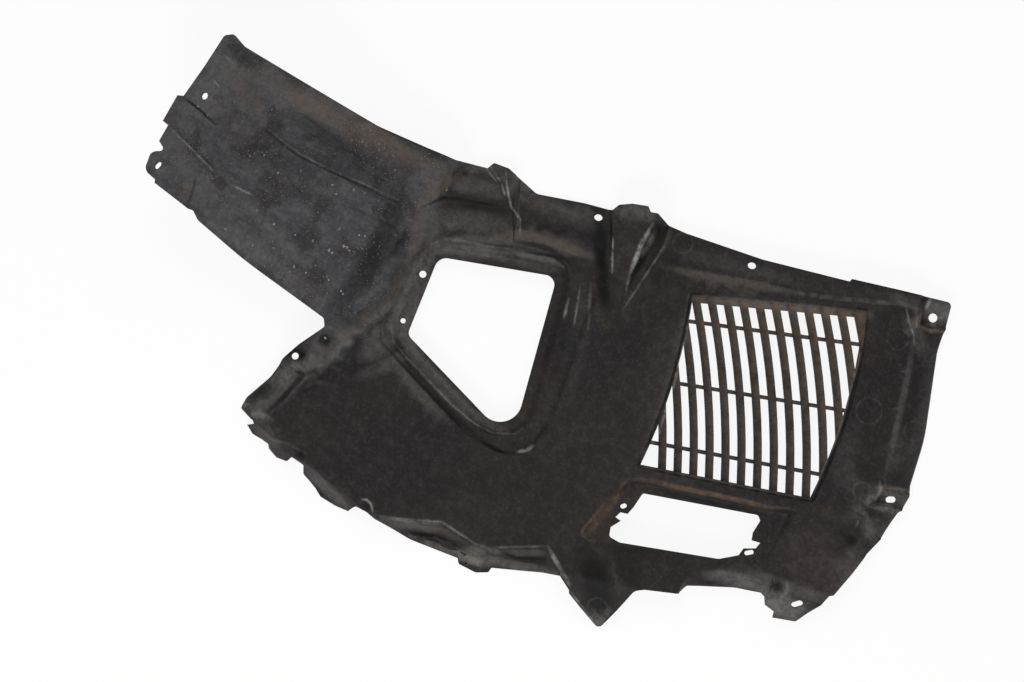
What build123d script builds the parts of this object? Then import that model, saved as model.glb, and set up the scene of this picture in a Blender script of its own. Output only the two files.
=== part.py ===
from build123d import *
import os
from math import asin, cos, degrees, radians, sin, sqrt, tan

# Front section of a wheel arch liner, one plastic moulding, in millimetres.
# X runs along the arch, Y runs across it, and Z points out of the face that the wheel sees.
# Shapes are drawn on the flat panel's face, Z = 0. The finished liner is then set down on its rest.

# Sheet, and the block that the shapes are cut from
wall = 2.5
stock_right = 420.0
stock_low = -305.0
stock_high = 255.0
stock_depth = 70.0

# Arched strip, which leaves the flat panel at a crease and curls towards the wheel
crease_x = -165.0
arch_radius = 500.0
arch_kink = 6.0
arch_end_angle = 44.0
strip_end_x = -430.0
strip_top_y = 100.0

# Lip along the strip's upper edge, and the channel beside it
lip_foot_y = 64.0
lip_rise = 15.0
lip_end_slope = 40.0
channel_low_y = 38.0
channel_high_y = 61.0
channel_depth = 3.0
channel_run_in = 3.0
channel_start_angle = 6.0
channel_end_angle = 33.0
channel_ramp_angle = 8.0

# Flanges that turn away behind the face, each with its fold line and its dip
top_fold = ((-99.0, 58.0), (292.0, 209.0))
top_dip = 25.0
shoulder_fold = ((-158.0, 72.0), (-103.0, 94.0))
shoulder_dip = 25.0
shoulder_draft = 40.0
right_fold = ((313.0, 189.0), (360.0, 51.0))
right_low_fold = ((360.0, 51.0), (360.0, -14.0))
right_dip = 38.0
right_low_draft = 50.0
tab_fold = ((200.0, -172.0), (127.0, -195.0))
tab_dip = 25.0
bar_fold = ((308.0, -93.5), (246.0, -127.0))
bar_dip = 45.0
foot_fold = ((373.0, -79.0), (330.0, -95.0))
foot_dip = 25.0
side_fold = ((-208.0, -213.0), (-205.0, -150.0))
side_dip = 38.0
flange_depth = 26.5
flange_draft = 20.0

# Skirt along the lower edge. It reaches as deep as the flanges, so that they share one rest.
skirt_depth = flange_depth
skirt_draft = 30.0
strip_head = 16.0

# Recess and opening in the middle of the panel
recess_step_depth = 5.0
recess_depth = 11.0
recess_draft = 45.0
recess_margin = 20.0

# Recess and opening below the grille
low_recess_fold = ((128.0, -157.0), (285.0, -97.0))
low_recess_dip = 6.5
low_recess_depth = 10.0
low_recess_draft = 40.0

# Grille: slats are arcs side by side, bars run straight across them, and both spread a little.
# A shelf runs along its upper edge.
grille_depth = 7.0
grille_draft = 25.0
grille_margin = 4.0
grille_turn = 21.5
slat_count = 14
slat_pitch = 15.7
slat_fan = 0.055
slat_width = 8.0
slat_height = 8.0
slat_radius = 760.0
slat_angle = 34.0
slat_sweep = 25.0
slat_drop = 1.0
first_slat_middle = (117.3, 19.9)
bar_count = 3
bar_pitch = 65.3
bar_turn = 22.1
bar_fan = -1.5
bar_width = 4.0
bar_height = 5.0
bar_drop = 2.5
first_bar_middle = (190.0, 118.5)
shelf_width = 6.0

# Pads that carry the fastener holes on the right edge
pad_depth = 17.0
pad_draft = 25.0

# Scoop that stands out of the upper edge. Its sections give the left edge, the ridge and the right foot.
scoop_tip_y = 56.0
scoop_tip = ((38.0, -1.0), (44.0, -0.3), (47.5, -1.0))
scoop_fold_y = 112.0
scoop_fold = ((7.8, 1.5), (35.0, 6.0), (47.5, -0.6))
scoop_end_y = 176.0
scoop_end = ((-26.8, -2.0), (28.5, 9.0), (48.0, -27.0))
scoop_foot = 40.0
scoop_side_run = 6.0

# Boss on the lower left ear
boss_centre = (-211.0, -139.0)
boss_radius = 8.0
boss_sink = 3.0
boss_draft = 30.0

# Holes: diameters, and length by width of slots
band_hole = 8.4
pad_hole = 9.0
strip_hole = 7.0
cover_hole = 7.0
cover_hole_small = 5.2
pad_slot = (10.0, 6.0)
foot_slot = (12.0, 7.0)
ear_slot = (8.0, 5.5)
clip_slot_left = (6.5, 4.5)
clip_slot_right = (9.5, 4.4)
slot_turn = 30.0
ear_slot_turn = 75.0
clip_slot_right_turn = 19.0

# Places of the holes, seen from the wheel's side
band_hole_left = (-18.7, 132.4)
band_hole_right = (138.3, 166.5)
pad_hole_place = (322.4, 211.5)
strip_hole_place = (strip_end_x + 22.3, 39.2)
ear_slot_place = (strip_end_x + 17.0, -41.6)
cover_hole_high = (-142.6, -5.0)
cover_hole_low = (-136.6, -55.3)
pad_slot_place = (376.2, 32.4)
foot_slot_place = (345.9, -105.0)
clip_slot_left_place = (146.6, -105.9)
clip_slot_right_place = (278.1, -83.8)


# Face of the flat panel and the arched strip
arch_centre_x = crease_x + arch_radius * sin(radians(arch_kink))
arch_centre_z = arch_radius * cos(radians(arch_kink))
arch_axis = Axis((arch_centre_x, 0, arch_centre_z), (0, 1, 0))
arch_section = Plane(origin=(arch_centre_x, 0, arch_centre_z), x_dir=(0, 1, 0), z_dir=(-1, 0, 0))


def strip_plane(x, y):
    """Plane that lies on the strip's face at a point."""
    lean = asin((arch_centre_x - x) / arch_radius)
    height = arch_centre_z - arch_radius * cos(lean)
    return Plane(origin=(x, y, height), x_dir=(cos(lean), 0, -sin(lean)), z_dir=(sin(lean), 0, cos(lean)))


def arch_stock(skin):
    """All that lies behind the face of the panel and the strip, set back by skin."""
    radius = arch_radius + skin
    start_angle = degrees(asin(sqrt(radius**2 - (arch_centre_z + skin) ** 2) / radius))
    with BuildPart() as stock:
        with BuildSketch(Plane.XZ.offset(-stock_high)):
            with BuildLine():
                arc = CenterArc(
                    (arch_centre_x, arch_centre_z), radius, 270 - start_angle, start_angle - arch_end_angle
                )
                Polyline(
                    arc @ 0,
                    (stock_right, -skin),
                    (stock_right, -stock_depth),
                    ((arc @ 1).X, -stock_depth),
                    arc @ 1,
                )
            make_face()
        extrude(amount=stock_high - stock_low)
    return stock.part


def strip_lip(skin):
    """Upper edge of the strip, turned up towards the wheel, with a sloping end at the crease."""
    foot = lip_foot_y + skin * tan(radians(lip_rise / 2))
    radius = arch_radius + skin
    top = radius - (stock_high - foot) * tan(radians(lip_rise))
    lean = radians(lip_end_slope)
    end_slope = Plane(origin=(crease_x, 0, 0), x_dir=(0, 1, 0), z_dir=(sin(lean), 0, cos(lean)))
    with BuildPart() as lip:
        with BuildSketch(arch_section):
            Polygon((foot, radius), (stock_high, top), (stock_high, radius + wall), (foot, radius + wall), align=None)
        revolve(axis=arch_axis, revolution_arc=arch_end_angle)
        split(bisect_by=end_slope.offset(-skin), keep=Keep.BOTTOM)
    return lip.part


def arch_point(angle, depth=0):
    """Point in the arch's section, at an angle from its lowest line and a depth behind the face."""
    radius = arch_radius + depth
    return Vector(arch_centre_x - radius * sin(radians(angle)), 0, arch_centre_z - radius * cos(radians(angle)))


def channel_ramp(face_angle, floor_angle, skin):
    """Plane of the slope by which the channel's floor comes up to the face at an end."""
    foot = arch_point(face_angle)
    along = arch_point(floor_angle, channel_depth) - foot
    normal = along.cross(Vector(0, 1, 0))
    if normal.Z < 0:
        normal = -normal
    return Plane(origin=foot, x_dir=along, z_dir=normal).offset(-skin)


def strip_channel(skin):
    """Shallow channel along the strip, which fades out at both ends."""
    low = channel_low_y - skin / 2
    high = channel_high_y + skin / 2
    radius = arch_radius + skin
    start_ramp = channel_ramp(channel_start_angle, channel_start_angle + channel_ramp_angle, skin)
    end_ramp = channel_ramp(channel_end_angle, channel_end_angle - channel_ramp_angle, skin)
    with BuildPart() as channel:
        with BuildSketch(arch_section):
            Polygon(
                (low, radius - channel_depth),
                (low, radius),
                (low + channel_run_in, radius + channel_depth),
                (high - channel_run_in, radius + channel_depth),
                (high, radius),
                (high, radius - channel_depth),
                align=None,
            )
        revolve(axis=arch_axis, revolution_arc=channel_end_angle)
        split(bisect_by=start_ramp, keep=Keep.TOP)
        split(bisect_by=end_ramp, keep=Keep.TOP)
        split(bisect_by=Plane.YZ.offset(arch_point(channel_start_angle).X), keep=Keep.BOTTOM)
    return channel.part


def turned_down(fold, dip):
    """Plane of a flange that turns away behind the face, on the left of its fold line."""
    start = Vector(*fold[0])
    along = (Vector(*fold[1]) - start).normalized()
    outward = Vector(-along.Y, along.X, 0)
    slope = outward * cos(radians(dip)) - Vector(0, 0, sin(radians(dip)))
    return Plane(origin=start, x_dir=along, z_dir=along.cross(slope))


def plan(points, radii=0):
    """Closed outline seen from the wheel's side, with rounded corners."""
    with BuildSketch() as flat:
        with BuildLine():
            FilletPolyline(points, radius=radii, close=True)
        make_face()
    return flat.sketch


def plan_of_runs(*runs):
    """Closed outline from runs of (x, y, corner radius)."""
    corners = [corner for run in runs for corner in run]
    return plan([(x, y) for x, y, radius in corners], [radius for x, y, radius in corners])


def widened(area, amount):
    """Outline moved outwards."""
    with BuildSketch() as flat:
        add(area)
        offset(amount=amount)
    return flat.sketch


def sink(area, depth, draft, skin, floor=None, face=Plane.XY, head=0):
    """Room behind the face: an outline with drafted sides, down to a depth or to a sloping floor."""
    grow = skin * tan(radians(45 - draft / 2)) + head * tan(radians(draft))
    with BuildPart() as room:
        with BuildSketch(face.offset(head - skin)):
            add(area)
            if grow > 0:
                offset(amount=grow, kind=Kind.INTERSECTION)
        extrude(amount=-depth - head, taper=draft)
        if floor is not None:
            split(bisect_by=floor.offset(-skin), keep=Keep.TOP)
    return room.part


def scoop(skin):
    """Raised scoop with a flat top, a steep left side and a ridge, from its tip to the upper edge."""
    sections = [(scoop_tip_y + skin, scoop_tip), (scoop_fold_y, scoop_fold), (scoop_end_y, scoop_end)]
    with BuildPart() as body:
        for y, (left_edge, ridge, right_foot) in sections:
            with BuildSketch(Plane.XZ.offset(-y)):
                Polygon(
                    (left_edge[0] - scoop_side_run + skin, -scoop_foot),
                    (left_edge[0] + skin, left_edge[1] - skin),
                    (ridge[0], ridge[1] - skin),
                    (right_foot[0] - skin, right_foot[1] - skin),
                    (right_foot[0] - skin, -scoop_foot),
                    align=None,
                )
        loft(ruled=True)
    return body.part


# Areas of the flanges
top_area = plan([(-72, 55), (-126, 140), (-60, 230), (330, 290), (318, 205), (292, 190)])
shoulder_area = plan([(-160, 50), (-172, 150), (-60, 200), (-60, 75)])
right_area = plan([(300, 20), (355, 36), (stock_right, 40), (stock_right, 240), (306, 200), (280, 190)])
right_low_area = plan([(300, -32), (stock_right, -32), (stock_right, 61), (355, 23), (300, 0)])
tab_area = plan([(122, -188), (205, -160), (210, -260), (135, -260)])
bar_area = plan([(236, -132), (310, -90), (335, -150), (236, -190)])
foot_area = plan([(312, -112), (330, -97), (350, -86), (385, -72), (stock_right, -150), (320, -160)])
side_area = plan([(-192, -153), (-192, -216), (-270, -240), (-270, -148)])

# Area of the skirt, whose fold zigzags in two gussets
skirt_left = -290
skirt_right = 130
skirt_area = plan(
    [
        (skirt_left, -206),
        (-206, -212),
        (-181, -224),
        (-150, -226),
        (-97, -233),
        (-68, -240),
        (-2, -212),
        (40, -213.5),
        (102, -181),
        (skirt_right, -200),
        (skirt_right, stock_low),
        (skirt_left, stock_low),
    ]
)

# Areas of the recesses and pads
recess_area = plan(
    [(-160, 30), (-26, 90), (22, 62), (24, 40), (43, -70), (38, -123), (-14, -122), (-66, -110), (-152, -72)],
    [10, 12, 12, 10, 20, 32, 10, 20, 10],
)
low_recess_area = plan(
    [(122, -160), (124, -146), (131, -98), (143, -76), (157, -69), (276, -33), (300, -24), (296, -92), (250, -116)],
    [0, 0, 12, 10, 10, 20, 0, 12, 0],
)
corner_pad_area = plan([(296, 226), (311, 195), (360, 208), (360, 250), (290, 250)])
edge_pad_area = plan([(359, 36), (410, 60), (410, 28), (358, 16)])
with BuildSketch() as boss_flat:
    Circle(boss_radius)

# Outline of the moulding, run by run, as (x, y, corner radius)
strip_end_run = [
    (strip_end_x + 32, strip_top_y, 10),
    (strip_end_x + 18, strip_top_y + 5, 5),
    (strip_end_x + 11, strip_top_y - 1, 5),
    (strip_end_x + 5, 29, 0),
    (strip_end_x, 26.5, 0),
    (strip_end_x, -2, 0),
    (strip_end_x + 6, -3, 0),
    (strip_end_x + 6, -20.5, 0),
    (strip_end_x + 15, -26, 3),
    (strip_end_x + 4.5, -33, 8),
    (strip_end_x + 7.5, -52, 8),
    (strip_end_x + 20, -55, 0),
    (strip_end_x + 21, -58, 0),
]
strip_low_run = [
    (strip_end_x + 59, -64, 0),
    (strip_end_x + 64, -63, 3),
    (strip_end_x + 72, -69, 8),
    (-301, -81, 400),
    (-206, -92, 4),
    (-201, -99, 4),
]
side_run = [(-214.5, -127, 15), (-221, -146, 30), (-224, -170, 20), (-235, -200, 8), (-235, -212, 3)]
torn_run = [
    (-218, -216.5, 0),
    (-215, -219, 0),
    (-221, -224, 0),
    (-212, -229, 3),
    (-193, -230, 0),
    (-190, -234, 0),
    (-179, -238, 3),
    (-168, -236, 3),
    (-165.5, -229, 0),
    (-151, -230, 0),
    (-147, -239, 3),
    (-130, -245, 4),
    (-121, -250, 4),
    (-104, -250.5, 6),
    (-90, -249, 0),
    (-86, -240, 4),
    (-73, -239, 0),
]
skirt_run = [
    (-62, -241.5, 0),
    (-22, -242.5, 60),
    (29, -235, 0),
    (33, -239.5, 3),
    (52, -238.5, 6),
    (63, -232, 3),
    (63.5, -226.5, 0),
    (90, -214.5, 10),
    (126, -198, 0),
]
corner_run = [(141, -206, 0), (143, -209, 0), (160, -216, 20), (187, -226, 5), (193, -201, 30), (198, -174, 8)]
bar_run = [(206, -168, 4), (238, -154.5, 0), (242, -144, 4), (252, -138.5, 6), (284, -122, 40), (310, -113.5, 3)]
foot_run = [
    (315, -115, 0),
    (319, -121.5, 0),
    (330, -123, 0),
    (332, -129, 0),
    (354, -121, 4),
    (360, -107, 6),
    (367, -94, 0),
    (369, -82, 0),
    (372.5, -79, 0),
]
right_run = [
    (378, -50, 40),
    (381, -27, 15),
    (388, -7, 8),
    (388.5, 24, 0),
    (391, 28, 0),
    (391, 47, 3),
    (387, 54.5, 4),
    (377, 102, 150),
    (344, 184, 40),
    (340, 203, 4),
    (331.5, 234, 5),
]
top_run = [(280, 219, 30), (232, 204.5, 0), (231, 201, 0), (145, 177, 60), (66, 162, 20)]
scoop_run = [
    (46.5, 160, 6),
    (31, 164, 4),
    (24, 161.5, 0),
    (19, 165.5, 0),
    (4, 160, 6),
    (-7, 152.5, 3),
    (-10, 145, 0),
]
shoulder_run = [
    (-37, 138, 60),
    (-84, 122, 10),
    (-105, 126.5, 10),
    (-121, 130, 5),
    (-136.5, 127.5, 0),
    (-139.5, 119.5, 0),
    (-154, 115.5, 10),
    (-170, 110, 8),
    (-200, 106, 40),
    (-252, strip_top_y, 60),
]
outline = plan_of_runs(
    strip_end_run,
    strip_low_run,
    side_run,
    torn_run,
    skirt_run,
    corner_run,
    bar_run,
    foot_run,
    right_run,
    top_run,
    scoop_run,
    shoulder_run,
)

# Openings, the lower one with torn clip corners
opening_run = [(-137.5, 18, 12), (-25, 59.5, 10), (18, -107.5, 22), (-126, -65, 8)]
opening = plan_of_runs(opening_run)
low_opening_top_run = [(157, -85.5, 3), (268, -47, 4)]
low_opening_right_run = [
    (272.5, -51, 0),
    (271.8, -64.8, 0),
    (274.4, -72, 0),
    (283.2, -70, 0),
    (282, -77, 0),
    (271.5, -83, 0),
    (270.4, -91.4, 0),
]
low_opening_low_run = [(255, -104.5, 8), (161, -139.5, 8)]
low_opening_left_run = [
    (149, -139.5, 4),
    (145.8, -130.6, 0),
    (151.4, -120.2, 0),
    (145, -119.6, 0),
    (147, -113, 0),
    (154, -110.8, 0),
    (156, -101, 0),
]
low_opening = plan_of_runs(
    low_opening_top_run, low_opening_right_run, low_opening_low_run, low_opening_left_run
)

with BuildSketch() as grille_flat:
    with BuildLine():
        grille_top = Line((102.7, 110), (258.8, 181.7))
        grille_right = ThreePointArc(grille_top @ 1, (292.5, 83.4), (305, -6.3))
        grille_low = Line(grille_right @ 1, (140.8, -61.9))
        ThreePointArc(grille_low @ 1, (123.6, 45.1), grille_top @ 0)
    make_face()
grille_opening = grille_flat.sketch
grille_reach = widened(grille_opening, wall / 2)
grille_area = widened(grille_opening, grille_margin)


def face_solid(skin):
    """All that lies behind the liner's face, set back by skin."""
    stock = arch_stock(skin)
    lip = strip_lip(skin)
    ridge = scoop(skin)
    flanges = [
        strip_channel(skin),
        sink(top_area, flange_depth, flange_draft, skin, turned_down(top_fold, top_dip)),
        sink(shoulder_area, flange_depth, shoulder_draft, skin, turned_down(shoulder_fold, shoulder_dip)),
        sink(right_area, flange_depth, flange_draft, skin, turned_down(right_fold, right_dip)),
        sink(right_area, flange_depth, flange_draft, skin, turned_down(right_low_fold, right_dip)),
        sink(right_low_area, flange_depth, right_low_draft, skin, turned_down(right_low_fold, right_dip)),
        sink(tab_area, flange_depth, flange_draft, skin, turned_down(tab_fold, tab_dip)),
        sink(bar_area, flange_depth, flange_draft, skin, turned_down(bar_fold, bar_dip)),
        sink(foot_area, flange_depth, flange_draft, skin, turned_down(foot_fold, foot_dip)),
        sink(side_area, flange_depth, flange_draft, skin, turned_down(side_fold, side_dip), head=strip_head),
    ]
    low_floor = turned_down(low_recess_fold, low_recess_dip)
    recesses = [
        sink(skirt_area, skirt_depth, skirt_draft, skin, head=strip_head),
        sink(recess_area, recess_step_depth, recess_draft, skin),
        sink(widened(opening, recess_margin), recess_depth, recess_draft, skin),
        sink(low_recess_area, low_recess_depth, low_recess_draft, skin, low_floor),
        sink(grille_area, grille_depth, grille_draft, skin),
        sink(corner_pad_area, pad_depth, pad_draft, skin),
        sink(edge_pad_area, pad_depth, pad_draft, skin),
        sink(boss_flat.sketch, boss_sink, boss_draft, skin, face=strip_plane(*boss_centre), head=wall),
    ]
    with BuildPart() as solid:
        add(stock)
        add(lip)
        add(flanges, mode=Mode.SUBTRACT)
        add(ridge)
        add(recesses, mode=Mode.SUBTRACT)
    return solid.part


def hole_plane(face, place):
    """Plane square to a sloping face, at the point that lies under a place."""
    normal = face.z_dir
    drop = (face.origin.X - place[0]) * normal.X + (face.origin.Y - place[1]) * normal.Y
    return Plane(origin=(*place, face.origin.Z + drop / normal.Z), x_dir=face.x_dir, z_dir=normal)


cavity = face_solid(0)
core = face_solid(wall)

# Grille: a rim around the opening, curved slats, straight bars and the shelf
grille_width = (slat_count + 1) * slat_pitch
slat_bow = (slat_radius * cos(radians(slat_angle)), slat_radius * sin(radians(slat_angle)))
rim_area = widened(grille_opening, wall)
with BuildPart() as grille:
    with BuildSketch(Plane.XY.offset(-grille_depth - wall / 2)):
        add(rim_area)
        add(grille_opening, mode=Mode.SUBTRACT)
    extrude(amount=-slat_height)
    with BuildSketch(Plane.XY.offset(-grille_depth - slat_drop)):
        with BuildLine():
            for i in range(slat_count):
                slat_run = i * (slat_pitch + i * slat_fan)
                middle_x = first_slat_middle[0] + slat_run * cos(radians(grille_turn))
                middle_y = first_slat_middle[1] + slat_run * sin(radians(grille_turn))
                CenterArc(
                    (middle_x - slat_bow[0], middle_y - slat_bow[1]),
                    slat_radius,
                    slat_angle - slat_sweep / 2,
                    slat_sweep,
                )
        trace(line_width=slat_width)
        add(grille_reach, mode=Mode.INTERSECT)
    extrude(amount=-slat_height)
    with BuildSketch(Plane.XY.offset(-grille_depth - bar_drop)):
        for i in range(bar_count):
            middle_x = first_bar_middle[0] + i * bar_pitch * sin(radians(grille_turn))
            middle_y = first_bar_middle[1] - i * bar_pitch * cos(radians(grille_turn))
            with Locations((middle_x, middle_y)):
                Rectangle(grille_width, bar_width, rotation=bar_turn + i * bar_fan)
        add(grille_reach, mode=Mode.INTERSECT)
    extrude(amount=-bar_height)
    with BuildSketch(Plane.XY.offset(-grille_depth - slat_drop)):
        with Locations(grille_top @ 0.5):
            Rectangle(grille_width, 2 * shelf_width, rotation=degrees(asin((grille_top % 0.5).Y)))
        add(grille_reach, mode=Mode.INTERSECT)
    extrude(amount=-wall)

# Punches for the holes, each square to the face that it goes through
top_face = turned_down(top_fold, top_dip)
foot_face = turned_down(foot_fold, foot_dip)
low_recess_face = turned_down(low_recess_fold, low_recess_dip)
pad_face = Plane.XY.offset(-pad_depth)
recess_face = Plane.XY.offset(-recess_depth)
round_holes = [
    (hole_plane(top_face, band_hole_left), band_hole),
    (hole_plane(top_face, band_hole_right), band_hole),
    (hole_plane(pad_face, pad_hole_place), pad_hole),
    (strip_plane(*strip_hole_place), strip_hole),
    (strip_plane(*boss_centre), strip_hole),
    (hole_plane(recess_face, cover_hole_high), cover_hole),
    (hole_plane(recess_face, cover_hole_low), cover_hole_small),
]
slots = [
    (hole_plane(pad_face, pad_slot_place), pad_slot, slot_turn),
    (hole_plane(foot_face, foot_slot_place), foot_slot, slot_turn),
    (strip_plane(*ear_slot_place), ear_slot, ear_slot_turn),
    (hole_plane(low_recess_face, clip_slot_left_place), clip_slot_left, slot_turn),
    (hole_plane(low_recess_face, clip_slot_right_place), clip_slot_right, clip_slot_right_turn),
]
with BuildPart() as punches:
    for place, diameter in round_holes:
        with BuildSketch(place):
            Circle(diameter / 2)
    for place, size, turn in slots:
        with BuildSketch(place):
            SlotOverall(*size, rotation=turn)
    extrude(amount=boss_sink + 2 * wall, both=True)

with BuildPart() as shell:
    add(cavity)
    add(core, mode=Mode.SUBTRACT)
    with BuildSketch(Plane.XY.offset(-stock_depth)):
        add(outline)
        add([opening, low_opening, grille_opening], mode=Mode.SUBTRACT)
    extrude(amount=2 * stock_depth + stock_high, mode=Mode.INTERSECT)
    add(grille.part)
    add(punches.part, mode=Mode.SUBTRACT)

# The liner on its rest: box centred in X and Y, lowest point at Z = 0
box = shell.part.bounding_box()
with BuildPart() as liner:
    with Locations((-box.center().X, -box.center().Y, -box.min.Z)):
        add(shell.part)

os.makedirs("parts", exist_ok=True)
liner.part.label = "liner"
export_step(liner.part, "parts/liner.step")
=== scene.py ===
import math

import bmesh
import bpy
import numpy as np
from mathutils.kdtree import KDTree
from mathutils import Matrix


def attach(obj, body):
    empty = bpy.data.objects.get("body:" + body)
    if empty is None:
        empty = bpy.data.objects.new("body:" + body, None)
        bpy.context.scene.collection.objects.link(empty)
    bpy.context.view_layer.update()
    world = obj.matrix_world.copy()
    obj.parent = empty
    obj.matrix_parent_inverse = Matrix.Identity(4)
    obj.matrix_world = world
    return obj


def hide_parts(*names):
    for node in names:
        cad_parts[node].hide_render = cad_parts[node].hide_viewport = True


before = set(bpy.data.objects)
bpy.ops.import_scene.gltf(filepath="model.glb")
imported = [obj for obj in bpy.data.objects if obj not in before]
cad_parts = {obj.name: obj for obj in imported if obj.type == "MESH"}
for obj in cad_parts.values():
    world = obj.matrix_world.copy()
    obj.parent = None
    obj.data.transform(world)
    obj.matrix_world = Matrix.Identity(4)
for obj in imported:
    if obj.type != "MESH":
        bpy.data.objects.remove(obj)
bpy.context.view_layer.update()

# Scene units are metres. Sizes below are in millimetres, and places in the picture are in pixels
millimetre = 0.001

# The drawing's origin in the row frame, and the height of the flat panel's face
drawing_shift = (19.5, 8.856)
panel_height = 29.0

# Picture: the camera looks straight down, and one pixel is about one millimetre on the panel
picture_size = (1024, 682)
sensor = 36.0
camera_over = (-32.03, -18.53)
camera_distance = 3400.0
camera_turn = math.radians(29.85)
pixels_per_millimetre = 1.003

# Mesh of the moulding: even cells on the flat faces
merge_gap = 0.02
flat_angle = 0.004
cell = 12.0
cell_cut_reach = 0.2
shortest_edge = 0.05
front_rise = 0.1
long_edge_factor = 1.4

# Finer mesh along the folds, which are softened, and sharp edges along the rims, but not at slivers
fold_edge = 3.0
fold_reach = 6.0
fold_angle = math.radians(8)
fold_refinements = 2
fold_passes = 4
fold_factor = 0.5
softened_share = 0.8
rim_angle = math.radians(62)
sharp_angle = math.radians(35)
sliver_area = 0.2 * millimetre**2

# Finest mesh along the thin marks
thin_mark = 3
mark_edge = 1.1
mark_edge_growth = 0.8
mark_refinements = 5

# A mark's even core and its soft side, and how it narrows and weakens towards its ends
core_share = 0.4
side_share = 0.9
least_side = 0.5
tapered_share = 0.25
end_width = 0.6
end_strength = 0.3

# Marks, apart from the grille's dirt and painted light, show where the normal rises towards the wheel, in
# full from here
marked_rise = 0.15
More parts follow.
